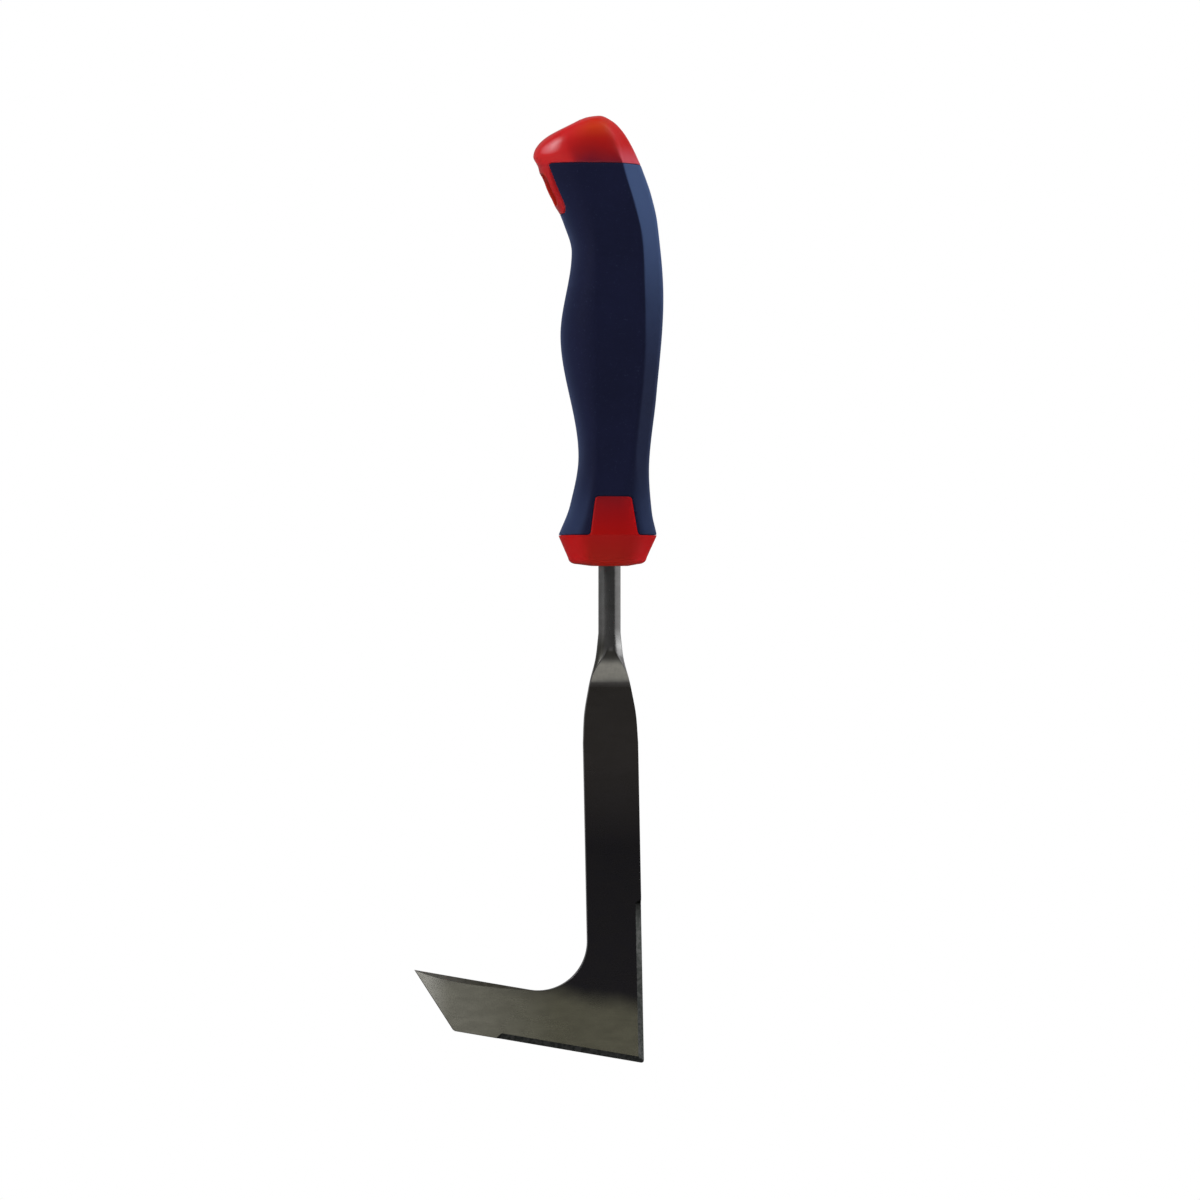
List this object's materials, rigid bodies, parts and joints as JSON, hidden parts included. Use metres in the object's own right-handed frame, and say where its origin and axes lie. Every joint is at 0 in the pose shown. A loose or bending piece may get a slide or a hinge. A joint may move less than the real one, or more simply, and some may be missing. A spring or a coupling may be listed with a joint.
{
  "type": "patio knife",
  "caption": "Hand weeding knife with an L-shaped flat steel blade on a round shank and a curved two-colour grip with a collar, a butt cap and a hang slot.",
  "frame": {"origin": "middle of the hang slot, on the handle's middle plane", "axes": "+Z from the blade up to the butt of the handle, +X to the palm side (the hook points to -X), -Y to the front"},
  "size_m": [0.0815, 0.0268, 0.3104],
  "materials": {
    "stainless_steel": "fine brushed stainless steel with ground edges",
    "core_plastic": "hard moulded red plastic, hidden",
    "collar_plastic": "satin moulded red plastic",
    "soft_grip": "soft-touch dark blue overmoulding",
    "cap_plastic": "glossy moulded red plastic"
  },
  "bodies": {
    "root": {"blade": "stainless_steel", "handle_core": "core_plastic", "collar": "collar_plastic", "grip_sleeve": "soft_grip", "end_cap": "cap_plastic"}
  },
  "joints": []
}
